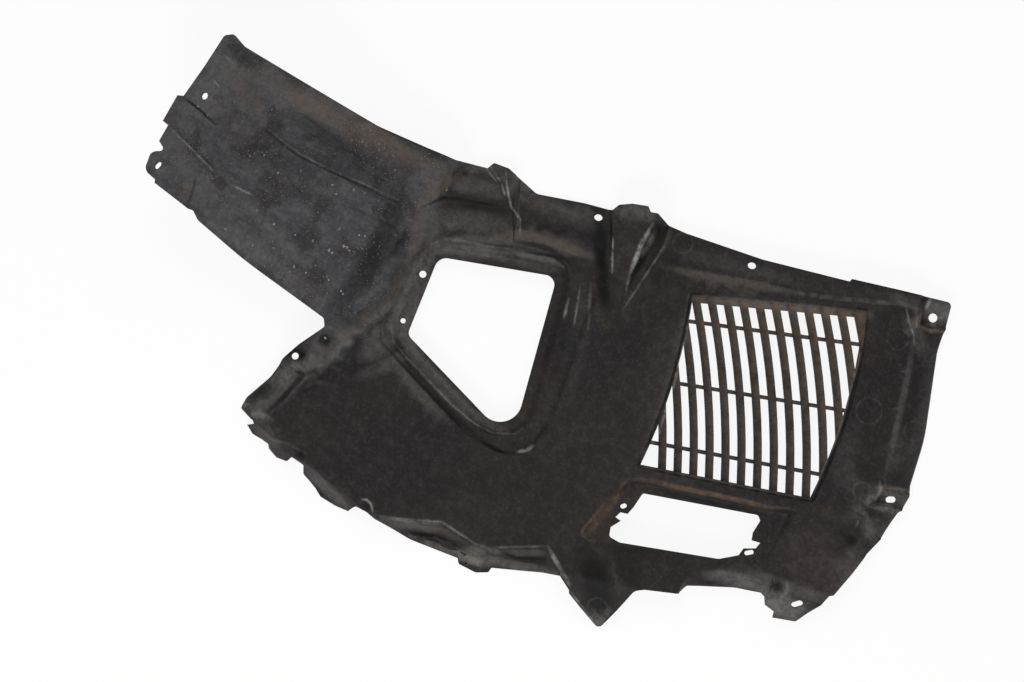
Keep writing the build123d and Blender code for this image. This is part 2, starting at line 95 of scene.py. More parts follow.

# Marks as lines of places in the picture, each with its half width and its strength
# Wear lines, many of them painted highlights: bright fold edges, glints on the scoop's ridge and the recess
# foot, and shaded walls painted lighter
wear_and_highlight_lines = {
    "shoulder edge": ([(506, 172), (507, 187), (511, 206), (520, 219), (520, 235)], 0.8, 1.0),
    "shoulder short edge": ([(502, 184), (505, 196)], 0.7, 0.7),
    "shoulder left rib": ([(485, 167), (497, 182)], 0.7, 0.5),
    "shoulder right rib": ([(491, 167), (500, 181)], 0.7, 0.6),
    "scoop left edge": ([(613, 237), (612, 273)], 0.8, 0.8),
    "scoop ridge": ([(653, 224), (642, 243), (630, 273)], 2.3, 0.95),
    "scoop ridge glint": ([(643, 241), (639, 250)], 2.4, 1.0),
    "scoop ridge tip": ([(630, 273), (626, 292)], 1.2, 0.35),
    "scoop right edge": ([(670, 229), (664, 247), (640, 284), (622, 311)], 0.8, 0.35),
    "opening inner line": (
        [(391, 323), (393, 341), (406, 357), (429, 381), (452, 405)]
        + [(475, 424), (493, 433), (515, 434), (523, 428)],
        0.7,
        0.4,
    ),
    "opening top line": ([(424, 246), (446, 239), (463, 241), (492, 247), (515, 249)], 1.2, 0.2),
    "opening right line": ([(569, 298), (564, 318)], 1.2, 0.6),
    "opening second line": ([(580, 287), (574, 326)], 0.9, 0.45),
    "opening outer line": ([(591, 283), (588, 330)], 1.5, 0.25),
    "recess foot glint": ([(517, 452), (527, 450), (534, 445)], 1.7, 1.0),
    "top fold": ([(775, 289), (824, 297), (864, 301), (907, 304), (918, 310)], 2.2, 0.14),
    "right ridge": ([(906, 306), (909, 322), (914, 335), (914, 345)], 0.8, 0.5),
    "corner pad light wall": ([(931, 298), (926, 309)], 1.6, 0.7),
    "corner pad left wall": ([(922, 312), (919, 319), (917, 327)], 1.8, 0.6),
    "corner pad low wall": ([(926, 329), (945, 332)], 1.6, 0.35),
    "edge pad upper wall": ([(884, 489), (898, 490), (912, 492)], 1.8, 0.4),
    "edge pad left wall": ([(880, 481), (881, 490), (872, 505)], 1.4, 0.6),
    "edge pad fold": ([(865, 508), (856, 527)], 1.6, 0.3),
    "grille left bevel": ([(693, 297), (684, 343), (674, 384), (659, 433), (640, 461)], 1.2, 0.5),
    "grille foot wall": ([(640, 466), (718.7, 481.5), (811, 499.7)], 0.9, 0.3),
    "grille right wall": (
        [(866.5, 313), (863.5, 339), (859.4, 361), (852.2, 384)]
        + [(843.5, 419), (835.5, 441), (824.8, 466), (811.5, 499)],
        0.9,
        0.3,
    ),
    "skirt left fold": ([(374, 515), (400, 519), (442, 522), (462, 535), (480, 547)], 1.1, 0.42),
    "skirt left inner fold": ([(379, 518), (443, 525)], 0.7, 0.3),
    "skirt right fold": ([(481, 548), (515, 547), (549, 546)], 1.0, 0.25),
    "skirt low band": ([(409, 536), (434, 546), (459, 555), (490, 560)], 3.0, 0.2),
    "skirt right band": ([(480, 556), (515, 566), (556, 573)], 4.5, 0.2),
    "gusset edge": ([(548, 546), (553, 556), (562, 572), (570, 586)], 2.0, 0.6),
    "gusset left edge": ([(571, 592), (585, 611), (598, 627)], 1.0, 0.6),
    "gusset tip": ([(597, 621), (603, 616)], 3.0, 0.3),
    "clip loop": ([(361, 499), (367, 500), (371, 504), (373, 512)], 0.9, 0.7),
    "corner fold": ([(255, 423), (271, 439), (286, 443), (303, 452)], 1.5, 0.12),
    "ear arc": ([(300, 391), (308, 386), (316, 382), (336, 385)], 2.2, 0.08),
    "strip facet fold": ([(171, 129), (195, 152), (217, 175)], 0.8, 0.45),
    "strip low edge": ([(204, 218), (262, 266), (322, 312)], 2.6, 0.08),
    "channel low edge": ([(266, 127), (286, 144), (315, 162), (338, 173), (364, 184), (398, 200)], 0.9, 0.25),
    "strip scratch": ([(232, 185), (254, 196)], 0.7, 0.6),
    "tongue scratch": ([(225, 56), (233, 63)], 0.6, 0.5),
    "tongue short scratch": ([(213, 79), (221, 89)], 0.6, 0.45),
    "foot ridge": ([(786, 578), (788, 590), (780, 600), (775, 606)], 2.0, 0.2),
    "edge pad floor": ([(862, 498), (884, 505), (906, 510)], 7.0, 0.38),
    "foot front": ([(760, 586), (772, 604), (784, 620)], 6.0, 0.22),
    "ear tip": ([(240, 402), (256, 413), (270, 420)], 5.0, 0.35),
    "corner pad front": ([(928, 323), (940, 322), (952, 320)], 6.0, 0.4),
    "skirt clip face": ([(450, 550), (468, 560), (488, 567)], 5.0, 0.3),
    "skirt joint": ([(474, 546), (488, 551), (502, 553)], 4.0, 0.25),
    "gusset point": ([(588, 608), (600, 623), (610, 608)], 4.0, 0.3),
    "ear upper": ([(270, 390), (286, 374), (302, 360)], 6.0, 0.25),
    "grille shelf": ([(686, 296), (781, 305), (874, 313)], 3.0, 0.2),
    "below edge pad": ([(854, 504), (866, 522), (874, 542)], 7.0, 0.2),
    "scoop ridge side": ([(656, 230), (649, 243), (642, 256)], 3.0, 0.4),
}
# Dust, and painted light: lit ridges, facets and walls painted paler
dust_and_light_lines = {
    "strip end": ([(236, 40), (222, 62), (206, 90), (186, 116)], 17.0, 0.45),
    "strip end right": ([(246, 66), (270, 88), (300, 104)], 12.0, 0.35),
    "strip left": ([(170, 100), (166, 130), (176, 156), (205, 192), (232, 214)], 13.0, 0.4),
    "strip lower band": ([(205, 212), (255, 247), (290, 275), (326, 306)], 8.0, 0.5),
    "strip diagonal": ([(220, 192), (255, 214), (273, 234), (313, 268)], 4.5, 0.55),
    "strip facet": ([(172, 143), (190, 165), (205, 185)], 7.0, 0.35),
    "shoulder top": ([(448, 162), (475, 166), (500, 172), (526, 190), (540, 200)], 8.0, 0.6),
    "shoulder upper": ([(445, 182), (480, 186), (508, 196)], 9.0, 0.55),
    "shoulder lower": ([(424, 222), (460, 220), (512, 228)], 10.0, 0.65),
    "bump face": ([(505, 174), (522, 190), (534, 206)], 11.0, 0.55),
    "bump wall": ([(519, 182), (517, 200), (515, 238)], 3.0, 0.7),
    "opening band": ([(418, 258), (430, 250), (446, 248), (480, 252), (515, 257)], 6.5, 0.7),
    "opening rim top": ([(440, 252), (500, 258), (560, 272)], 4.5, 0.35),
    "opening left flank": ([(440, 240), (420, 266), (404, 300), (392, 330), (386, 352)], 10.0, 0.75),
    "opening rim left": ([(432, 262), (402, 333), (420, 362), (470, 414), (505, 432)], 8.0, 0.68),
    "opening right flank": ([(580, 280), (582, 330), (568, 376), (548, 416)], 12.0, 0.12),
    "band left": ([(532, 200), (566, 212), (604, 222)], 11.0, 0.48),
    "band above opening": ([(494, 230), (526, 236), (558, 244), (594, 256)], 7.0, 0.65),
    "scoop head": ([(612, 214), (634, 210), (660, 218)], 9.0, 0.6),
    "crease light": ([(424, 240), (408, 275), (396, 300), (372, 322), (336, 358)], 4.0, 0.6),
    "ear ridge": ([(376, 318), (355, 335), (337, 350), (329, 361), (303, 386)], 4.8, 0.85),
    "ear ground": ([(332, 336), (304, 366), (276, 388), (246, 412)], 17.0, 0.7),
    "crease patch": ([(358, 358), (378, 346), (396, 344)], 8.0, 0.6),
    "ear plate": ([(254, 402), (268, 412)], 9.0, 0.7),
    "ear step": ([(279, 371), (292, 386)], 5.0, 0.7),
    "ear fold": ([(263, 419), (285, 398), (300, 381)], 2.5, 0.4),
    "boss ring": ([(311, 346), (314, 356), (308, 366)], 5.0, 0.9),
    "recess left scuff": ([(384, 350), (412, 386), (450, 424)], 6.0, 0.42),
    "torn corner": ([(248, 424), (262, 436), (280, 450)], 4.0, 0.35),
    "skirt left band": ([(303, 464), (318, 480), (334, 497), (352, 511)], 5.5, 0.6),
    "skirt middle": ([(462, 550), (486, 561)], 7.0, 1.0),
    "skirt upper facet": ([(505, 552), (520, 553), (546, 553)], 3.5, 0.35),
    "top band": ([(672, 246), (750, 266), (830, 285), (900, 300)], 9.0, 0.08),
    "top fold soft": ([(660, 266), (700, 275), (760, 286), (800, 294)], 4.5, 0.4),
    "grille shelf": ([(690, 298), (781, 307), (870, 316)], 5.5, 1.0),
    "grille left side": ([(690, 300), (676, 350), (664, 400), (642, 458)], 4.5, 0.3),
    "corner pad": ([(920, 312), (938, 312), (958, 312)], 12.0, 1.0),
    "right edge": ([(942, 326), (934, 380), (922, 430), (904, 484)], 9.0, 0.32),
    "right soft ridge": ([(914, 336), (909, 370), (899, 418), (893, 444), (884, 481)], 3.2, 0.62),
    "edge pad": ([(872, 490), (892, 496), (912, 500)], 10.0, 0.9),
    "grille right foot": ([(854, 430), (842, 470), (864, 504)], 12.0, 0.22),
    "foot band": ([(706, 574), (740, 580), (774, 590)], 7.5, 1.0),
    "foot face": ([(770, 592), (786, 608), (808, 616)], 12.0, 1.0),
    "skirt lower": ([(405, 534), (440, 547), (480, 560), (560, 574)], 5.0, 0.5),
    "low right edge": ([(908, 500), (884, 545), (852, 582), (826, 606)], 10.0, 0.55),
    "corner side": ([(906, 318), (918, 336), (926, 360)], 8.0, 0.55),
    "foot side": ([(758, 570), (768, 596), (778, 616)], 6.0, 0.8),
    "ear tip": ([(240, 402), (256, 414), (272, 420)], 6.0, 0.6),
    "skirt upper band": ([(380, 519), (412, 526), (446, 532)], 4.0, 0.5),
    "gusset point": ([(586, 608), (600, 620), (610, 608)], 5.0, 0.6),
    "strip hole side": ([(172, 104), (205, 112), (245, 104)], 9.0, 0.6),
    "lip side": ([(230, 58), (262, 76), (300, 98), (350, 124)], 6.0, 0.3),
    "recess upper": ([(420, 248), (470, 238), (520, 242), (570, 254)], 4.5, 0.5),
    "crease ridge": ([(346, 356), (372, 338), (398, 318)], 7.0, 0.5),
    "bump side": ([(521, 178), (516, 215), (514, 256)], 1.8, 0.45),
    "strip corner side": ([(200, 56), (222, 76), (242, 100)], 10.0, 0.5),
    "crease right": ([(438, 184), (424, 225), (408, 268)], 8.0, 0.5),
    "band middle": ([(670, 249), (740, 268), (806, 284)], 7.0, 0.3),
    "opening band right": ([(508, 251), (540, 258), (566, 266)], 4.0, 0.7),
    "right flange low": ([(904, 430), (896, 455), (888, 480)], 8.0, 0.3),
    "strip tab": ([(156, 128), (175, 112), (194, 138)], 8.0, 0.4),
    "ear slot side": ([(146, 156), (158, 166), (172, 176)], 6.0, 0.4),
    "corner top": ([(886, 295), (908, 302), (926, 308)], 6.0, 0.5),
    "foot top": ([(736, 570), (765, 580), (800, 592), (836, 602)], 7.0, 0.5),
    "low right flange": ([(896, 510), (868, 545), (830, 592)], 14.0, 0.35),
    "shoulder left": ([(420, 250), (432, 232), (450, 218)], 6.0, 0.5),
    "crease foot": ([(358, 376), (384, 366), (408, 354)], 7.0, 0.5),
    "lip shoulder": ([(256, 67), (284, 82), (310, 97)], 5.0, 0.45),
}
dirt_lines = {
    "strip lip": ([(258, 74), (300, 100), (360, 131), (410, 155), (448, 172)], 13.0, 0.6),
    "strip tongue": ([(224, 58), (238, 78), (262, 118)], 8.0, 0.4),
    "ear patch": ([(180, 182), (190, 200)], 7.0, 0.4),
    "strip olive": ([(225, 118), (250, 150)], 12.0, 0.2),
    "valley": ([(458, 164), (442, 181), (421, 200), (418, 222), (420, 243)], 4.5, 0.6),
    "valley foot": ([(418, 243), (398, 280), (378, 314), (340, 336), (310, 365)], 4.0, 0.4),
    "shoulder triangle": ([(469, 166), (451, 181), (424, 207)], 2.5, 0.55),
    "band above opening": ([(494, 236), (519, 234), (538, 237), (564, 247), (588, 256)], 5.0, 0.8),
    "band left": ([(540, 200), (532, 212)], 4.0, 0.4),
    "beside scoop": ([(600, 300), (606, 330)], 8.0, 0.25),
    "scoop dirt": ([(671, 229), (666, 243), (658, 257)], 2.0, 0.8),
    "top fold dirt": ([(668, 268), (722, 279), (754, 284), (792, 292)], 3.5, 0.5),
    "grille shelf": ([(694, 299), (781, 307), (866, 316)], 3.5, 1.0),
    "grille side": ([(672, 320), (652, 380), (640, 430)], 9.0, 0.14),
    "low right": ([(800, 520), (812, 560), (830, 590)], 26.0, 0.2),
    "low recess fold": ([(816, 505), (846, 519), (854, 522)], 3.0, 0.35),
    "left scuff": ([(388, 352), (415, 385), (448, 420)], 5.0, 0.22),
    "skirt": ([(318, 480), (334, 494), (350, 506)], 4.0, 0.35),
    "skirt middle": ([(385, 521), (440, 528), (470, 548)], 3.0, 0.2),
    "skirt lower": ([(420, 542), (470, 557), (556, 572)], 6.0, 0.22),
    "ear foot": ([(262, 418), (280, 445)], 6.0, 0.15),
    "corner wedge": ([(924, 304), (919, 318), (912, 328)], 4.5, 0.8),
    "edge pad top": ([(876, 487), (898, 490), (918, 492)], 2.6, 0.9),
}
rust_lines = {
    "low recess edge": (
        [(629, 478), (622, 485), (617, 496), (604, 505), (583, 529), (582, 535), (588, 540), (601, 542)],
        1.3,
        0.5,
    ),
    "low recess left wall": ([(622, 490), (604, 510), (588, 532)], 5.5, 0.4),
    "low recess top wall": (
        [(630, 479), (651, 481), (674, 487), (720, 496), (770, 508), (790, 508)],
        2.4,
        0.65,
    ),
    "corner pad wall": ([(923, 316), (918, 325), (931, 332), (945, 332)], 1.6, 0.6),
    "edge pad wall": ([(880, 481), (881, 490), (871, 505)], 1.5, 0.6),
    "edge pad floor": ([(874, 503), (888, 499)], 3.0, 0.3),
}
# Mostly painted shade in creases, grooves, valleys, recesses and faces turned from the lamps, with some soot
# and dark blotches
shade_and_soot_lines = {
    "channel": ([(284, 110), (330, 140), (365, 165), (408, 192)], 11.0, 0.5),
    "strip by the crease": (
        [(408, 158), (399, 183), (391, 219), (381, 249), (359, 283), (323, 319)],
        13.0,
        0.62,
    ),
    "strip high line": ([(281, 108), (302, 114), (315, 123), (344, 145), (364, 159), (380, 166)], 1.0, 0.6),
    "strip low line": (
        [(266, 130), (286, 147), (300, 157), (315, 164), (338, 175), (364, 186), (382, 196), (398, 202)],
        1.1,
        0.7,
    ),
    "tongue step": ([(182, 96), (200, 110), (216, 125)], 1.2, 0.9),
    "facet shade": ([(172, 127), (218, 173)], 1.0, 0.4),
    "strip corner": ([(228, 40), (240, 54), (262, 66)], 7.0, 0.6),
    "strip scuff": ([(362, 263), (371, 277)], 2.5, 0.5),
    "strip blotch": ([(381, 214), (377, 235), (370, 255)], 2.6, 0.5),
    "crease blotch": ([(408, 232), (398, 250), (385, 262)], 4.0, 0.8),
    "strip foot blotch": ([(330, 316), (342, 322), (356, 328)], 7.0, 0.5),
    "ear patch edge": ([(196, 176), (193, 190), (187, 206)], 1.2, 0.5),
    "upper rim": ([(375, 124), (400, 136), (430, 150), (452, 159)], 2.6, 0.7),
    "shoulder crease": ([(423, 207), (442, 198), (458, 199), (480, 203), (509, 208)], 1.9, 0.9),
    "shoulder shade": ([(452, 204), (476, 207), (512, 211)], 3.5, 0.55),
    "shoulder low shade": ([(456, 225), (490, 227), (512, 230)], 3.0, 0.35),
    "band shade": ([(520, 226), (556, 232), (596, 238)], 4.0, 0.5),
    "opening top groove": ([(515, 250), (538, 254), (553, 256), (566, 266), (569, 285)], 1.2, 0.8),
    "opening top wedge": ([(514, 242), (535, 245), (549, 249), (572, 265)], 2.8, 0.7),
    "recess left groove": (
        [(380, 325), (381, 341), (396, 358), (436, 401), (465, 432), (480, 443)],
        1.5,
        0.8,
    ),
    "recess foot groove": ([(477, 440), (498, 451), (510, 453)], 1.8, 0.9),
    "beside scoop": ([(599, 205), (600, 240), (602, 272), (607, 322)], 7.0, 1.0),
    "scoop right side": ([(663, 222), (648, 247), (628, 286)], 3.0, 0.9),
    "scoop far side": ([(680, 240), (668, 266), (650, 296)], 9.0, 0.4),
    "crease shade": ([(374, 324), (357, 343), (334, 368)], 4.0, 0.75),
    "crease blot": ([(342, 369), (360, 364), (382, 372)], 5.0, 0.5),
    "ear valley": ([(283, 359), (303, 375), (290, 390), (268, 413)], 3.0, 0.8),
    "ear valley branch": ([(303, 375), (320, 369)], 2.8, 0.6),
    "ear flat": ([(248, 396), (262, 391), (276, 384)], 6.5, 0.75),
    "boss": ([(299, 354)], 9.5, 1.0),
    "ear dimple": ([(325, 340)], 7.0, 0.9),
    "skirt gap": ([(298, 452), (304, 460)], 3.5, 0.8),
    "skirt clip": ([(364, 506), (369, 509)], 3.0, 0.9),
    "skirt inner": ([(404, 530), (446, 542), (468, 547)], 3.5, 1.0),
    "skirt gusset": ([(498, 549), (508, 555), (517, 558), (549, 559)], 1.5, 0.9),
    "gusset face": ([(582, 545), (594, 572), (600, 600), (602, 650)], 17.0, 0.85),
    "low recess ledge": ([(640, 484), (690, 497), (760, 512)], 3.0, 0.4),
    "edge pad shade": ([(856, 545), (842, 532)], 5.0, 0.6),
    "foot blot": ([(777, 586)], 6.0, 0.9),
    "corner pad": ([(935, 317)], 6.0, 0.4),
    "strip middle": ([(215, 142), (270, 158), (335, 182)], 11.0, 0.3),
    "gusset side": ([(618, 548), (628, 566), (636, 590)], 12.0, 0.5),
    "strip top blot": ([(388, 172), (396, 182), (402, 194)], 6.0, 0.4),
    "scoop valley": ([(672, 226), (660, 250), (644, 280)], 4.0, 0.5),
    "top corner": ([(898, 294), (910, 300), (920, 308)], 5.0, 0.12),
    "shoulder under": ([(434, 216), (480, 220), (522, 227)], 6.0, 0.3),
    "beside ear": ([(294, 397), (318, 376), (344, 356)], 6.0, 0.55),
    "bar shade": ([(598, 544), (630, 552), (668, 558)], 6.0, 0.5),
    "bar end": ([(698, 586), (714, 583), (730, 581)], 4.0, 0.5),
    "gusset left": ([(572, 570), (596, 592), (616, 604)], 9.0, 0.45),
    "recess right flank": ([(574, 300), (566, 350), (554, 408)], 9.0, 0.22),
    "beside scoop low": ([(584, 270), (602, 278), (622, 286)], 8.0, 0.25),
    "opening rim foot": ([(412, 342), (455, 385), (485, 412), (512, 424)], 4.0, 0.3),
    "panel shade": ([(400, 510), (520, 470), (640, 430)], 34.0, 0.1),
    "gusset base": ([(592, 556), (606, 582), (600, 606)], 10.0, 0.4),
    "strip upper right": ([(308, 154), (355, 176), (404, 196)], 9.0, 0.35),
    "lip end": ([(392, 136), (424, 150), (446, 160)], 5.0, 0.5),
    "bump top": ([(472, 180), (500, 172), (520, 182)], 6.0, 0.3),
}

# Rings that the mould left: their places and radii in the picture
ring_half_width = 0.7
ring_strength = 0.09
mould_rings = {
    "grille side": (869, 411, 13),
    "edge": (914, 431, 10),
    "corner": (898, 339, 10.5),
    "beside scoop": (683, 243, 10),
    "strip": (388, 211, 9.5),
    "gusset": (597, 608, 10),
    "pad": (876, 528, 8),
    "ear tab": (161, 163, 6.5),
    "grille foot": (862, 491, 9),
}

# Chips: their places and radii in the picture
chip_strength = 0.8
paint_chips = [
    (207, 116, 0.8),
    (198, 106, 0.7),
    (250, 156, 0.6),
    (264, 155, 0.6),
    (278, 173, 0.9),
    (301, 171, 0.7),
    (257, 210, 0.8),
    (274, 224, 0.9),
    (225, 229, 0.7),
    (253, 245, 0.8),
    (295, 235, 0.7),
    (313, 241, 0.6),
    (339, 229, 0.9),
    (359, 235, 0.6),
    (365, 236, 0.6),
    (329, 250, 1.1),
    (332, 253, 0.9),
    (344, 246, 1.0),
    (347, 247.5, 1.0),
    (349, 251, 0.8),
    (341, 291, 0.8),
    (343, 294, 0.7),
    (327, 277, 0.7),
    (329, 280, 0.7),
    (306, 273, 0.6),
    (294, 267, 0.7),
    (332, 185, 0.6),
    (354, 190, 0.6),
    (364, 193, 0.6),
    (336, 194, 0.7),
    (325, 338, 0.9),
    (447, 190, 0.7),
]

# Outline of the grille in the picture
grille_corners = [
    (693, 295),
    (867, 311.5),
    (863.5, 339),
    (859.5, 361),
    (852, 384),
    (843.5, 419),
    (835.5, 441),
    (825, 466),
    (811.5, 500.5),
    (639, 466),
    (659, 433),
    (674, 384),
    (684, 343),
]

# Slats of the grille, placed as in the part: arcs side by side on the drawing
slat_count = 14
slat_pitch = 15.7
slat_fan = 0.055
slat_half_width = 4.0
slat_radius = 760.0
slat_angle = math.radians(34)
grille_turn = math.radians(21.5)
first_slat_middle = (117.3, 19.9)

# Painted light, as dust, on each slat's right side, and painted shade on its left side, both a little past
# its edges
slat_reach = 1.3
slat_light = 0.3
slat_shade = 0.42

# Dirt and rust all over the grille, and more of both as painted light, growing from its shaded lower left
# corner to the upper right
slat_dirt = 0.16
slat_dirt_and_light_gain = 0.6
slat_rust = 0.08
slat_rust_and_light_gain = 0.16
shaded_corner = (680, 450)
lit_over = (400, 330)

# Finish of the plastic: the strip's bounds in metres, the streaks' stretch, the grain and the gloss
strip_end_along = (-0.16, -0.135)
strip_end_across = (-0.12, -0.08)
streak_stretch = (22.0, 95.0, 30.0)
grain_strength = 0.2
grain_share = 0.3
plastic_roughness = 0.55
plastic_gloss = 0.12

# Studio, in metres: a white floor, an even world light and two lamps
floor_half_size = 6.0
floor_roughness = 0.9
floor_glow = 0.9
white_rays = ("Is Camera Ray", "Is Glossy Ray", "Is Transmission Ray")
white = (1, 1, 1, 1)
world_strength = 0.35


def vertex_places(bm):
    """Vertex positions of a bmesh, in metres."""
    return np.array([v.co for v in bm.verts])


def in_picture(points):
    """Where points of the row frame show in the picture, in pixels."""
    drawing = points / millimetre - np.array([*drawing_shift, panel_height])
    lens = pixels_per_millimetre * camera_distance / (camera_distance - drawing[:, 2])
    across = (drawing[:, 0] - camera_over[0]) * lens
    along = (drawing[:, 1] - camera_over[1]) * lens
    right = across * math.cos(camera_turn) + along * math.sin(camera_turn)
    up = along * math.cos(camera_turn) - across * math.sin(camera_turn)
    return np.stack([picture_size[0] / 2 + right, picture_size[1] / 2 - up], axis=1)


def line_gap(places, line):
    """Distance of each place from a line of points, and how far along the line it lies, from 0 to 1."""
    ends = np.array(line, dtype=float)
    lengths = np.linalg.norm(ends[1:] - ends[:-1], axis=1)
    best = np.linalg.norm(places - ends[0], axis=1)
    reached = np.full(len(places), 0.5 if len(line) == 1 else 0.0)
    for i, (start, end) in enumerate(zip(ends[:-1], ends[1:])):
        share = np.clip(((places - start) @ (end - start)) / lengths[i] ** 2, 0, 1)
        gap = np.linalg.norm(places - start - share[:, None] * (end - start), axis=1)
        closer = gap < best
        reached = np.where(closer, (lengths[:i].sum() + share * lengths[i]) / lengths.sum(), reached)
        best = np.minimum(best, gap)
    return best, reached


def faded(gap, half_width):
    """1 in the middle of a mark, down to 0 outside it."""
    share = np.clip((gap - core_share * half_width) / (side_share * half_width + least_side), 0, 1)
    return 1 - share * share * (3 - 2 * share)


def mark_strength(places, lines):
    """How strongly each place carries a set of marks, from 0 to 1. Each mark runs out at its ends."""
    strength = np.zeros(len(places))
    for line, half_width, level in lines.values():
        gap, reached = line_gap(places, line)
        body = np.clip(np.minimum(reached, 1 - reached) / tapered_share, 0, 1)
        tapered_width = half_width * (end_width + (1 - end_width) * body)
        tapered_level = level * (end_strength + (1 - end_strength) * body)
        strength = np.maximum(strength, tapered_level * faded(gap, tapered_width))
    return strength


def ring_gap(places, rings):
    """Distance of each place from the nearest of a set of rings."""
    best = np.full(len(places), np.inf)
    for right, down, radius in rings.values():
        best = np.minimum(best, abs(np.linalg.norm(places - np.array([right, down]), axis=1) - radius))
    return best


def inside_outline(places, corners):
    """1 where a place lies inside a closed outline, 0 elsewhere."""
    right, down = places.T
    inside = np.zeros(len(places), dtype=bool)
    for (start_right, start_down), (end_right, end_down) in zip(corners, corners[1:] + corners[:1]):
        spanned = (start_down > down) != (end_down > down)
        slope = (end_right - start_right) / ((end_down - start_down) or 1.0)
        inside ^= spanned & (right < start_right + (down - start_down) * slope)
    return inside.astype(float)


def thin_mark_gap(places):
    """Distance of each place from the nearest mark that is too thin for the coarse mesh."""
    best = ring_gap(places, mould_rings)
    for lines in (wear_and_highlight_lines, dust_and_light_lines, dirt_lines, rust_lines, shade_and_soot_lines):
        for line, half_width, _ in lines.values():
            if half_width < thin_mark:
                best = np.minimum(best, line_gap(places, line)[0] - half_width)
    for right, down, radius in paint_chips:
        best = np.minimum(best, line_gap(places, [(right, down)])[0] - radius)
    return best


def cut_into_cells(bm):
    """Cuts the sheet along a square grid, so that its large flat faces become even cells."""
    bmesh.ops.dissolve_limit(bm, angle_limit=flat_angle, verts=bm.verts[:], edges=bm.edges[:])
    places = vertex_places(bm)
    reach = cell_cut_reach * millimetre
    for axis, normal in ((0, (1, 0, 0)), (1, (0, 1, 0))):
        low = places[:, axis].min()
        high = places[:, axis].max()
        for step in range(1, int((high - low) / (cell * millimetre))):
            point = [0, 0, 0]
            point[axis] = low + step * cell * millimetre
            everything = bm.verts[:] + bm.edges[:] + bm.faces[:]
            bmesh.ops.bisect_plane(bm, geom=everything, dist=reach, plane_co=point, plane_no=normal)
    bmesh.ops.dissolve_degenerate(bm, dist=shortest_edge * millimetre, edges=bm.edges[:])
    bmesh.ops.triangulate(bm, faces=bm.faces[:])
    bm.normal_update()


def refine(bm, wanted, passes):
    """Halves the edges of the front that are well over the length wanted at their middles."""
    for _ in range(passes):
        bm.normal_update()
        front = [e for e in bm.edges if any(f.normal.z > front_rise for f in e.link_faces)]
        ends = np.array([[v.co[:] for v in e.verts] for e in front])
        length = np.linalg.norm(ends[:, 1] - ends[:, 0], axis=1) / millimetre
        limit = wanted(ends.mean(axis=1))
        too_long = [front[i] for i in np.nonzero(length > long_edge_factor * limit)[0]]
        bmesh.ops.subdivide_edges(bm, edges=too_long, cuts=1)
        bmesh.ops.triangulate(bm, faces=[f for f in bm.faces if len(f.verts) > 3])
    bm.verts.index_update()
    bm.normal_update()


def fold_tree(bm):
    """Search tree of points along the edges where the sheet folds."""
    points = []
    for edge in bm.edges:
        if edge.is_manifold and fold_angle < edge.calc_face_angle(0.0) < rim_angle:
            first, second = (v.co for v in edge.verts)
            count = max(1, round(edge.calc_length() / (fold_edge * millimetre)))
            points.extend(first.lerp(second, (i + 0.5) / count) for i in range(count))
    tree = KDTree(len(points))
    for i, point in enumerate(points):
        tree.insert(point, i)
    tree.balance()
    return tree


def fold_gaps(tree, points):
    """Distance of each point from the nearest fold, in millimetres."""
    return np.array([tree.find(point)[2] for point in points]) / millimetre


def edge_by_folds(folds, points):
    """Edge length wanted at each point: short by the folds, a whole cell elsewhere."""
    return np.where(fold_gaps(folds, points) < fold_reach, fold_edge, cell)


def edge_by_marks(points):
    """Edge length wanted at each point: shortest on a thin mark, growing away from it."""
    return np.clip(mark_edge_growth * thin_mark_gap(in_picture(points)), mark_edge, cell)


def round_folds(bm, folds):
    """Softens the folds and leaves the cut rims of the sheet as they are."""
    rim = {v.index for e in bm.edges if e.calc_face_angle(0.0) > rim_angle for v in e.verts}
    gap = fold_gaps(folds, vertex_places(bm))
    bm.verts.ensure_lookup_table()
    reach = softened_share * fold_reach
    soft = [v for v in bm.verts if v.index not in rim and gap[v.index] < reach]
    all_axes = {"use_axis_x": True, "use_axis_y": True, "use_axis_z": True}
    for _ in range(fold_passes):
        bmesh.ops.smooth_vert(bm, verts=soft, factor=fold_factor, **all_axes)
    bm.normal_update()


def paint(mesh, name, strength):
    """Stores a strength per vertex, for the material to read."""
    layer = mesh.attributes.new(name, "FLOAT", "POINT")
    layer.data.foreach_set("value", np.clip(strength, 0, 1).astype(np.float32))


def slat_sides(points):
    """Where each point lies across its slat: -1 at the left edge, 1 at the right, 0 off the slats."""
    across, along = (points[:, :2] / millimetre - np.array(drawing_shift)).T
    row = np.array([math.cos(grille_turn), math.sin(grille_turn)])
    spoke = slat_radius * np.array([math.cos(slat_angle), math.sin(slat_angle)])
    sides = np.zeros(len(points))
    for i in range(slat_count):
        run = i * (slat_pitch + i * slat_fan)
        centre_across, centre_along = first_slat_middle + run * row - spoke
        side = (np.hypot(across - centre_across, along - centre_along) - slat_radius) / slat_half_width
        sides = np.where(abs(side) < slat_reach, side, sides)
    return np.clip(sides, -1, 1)


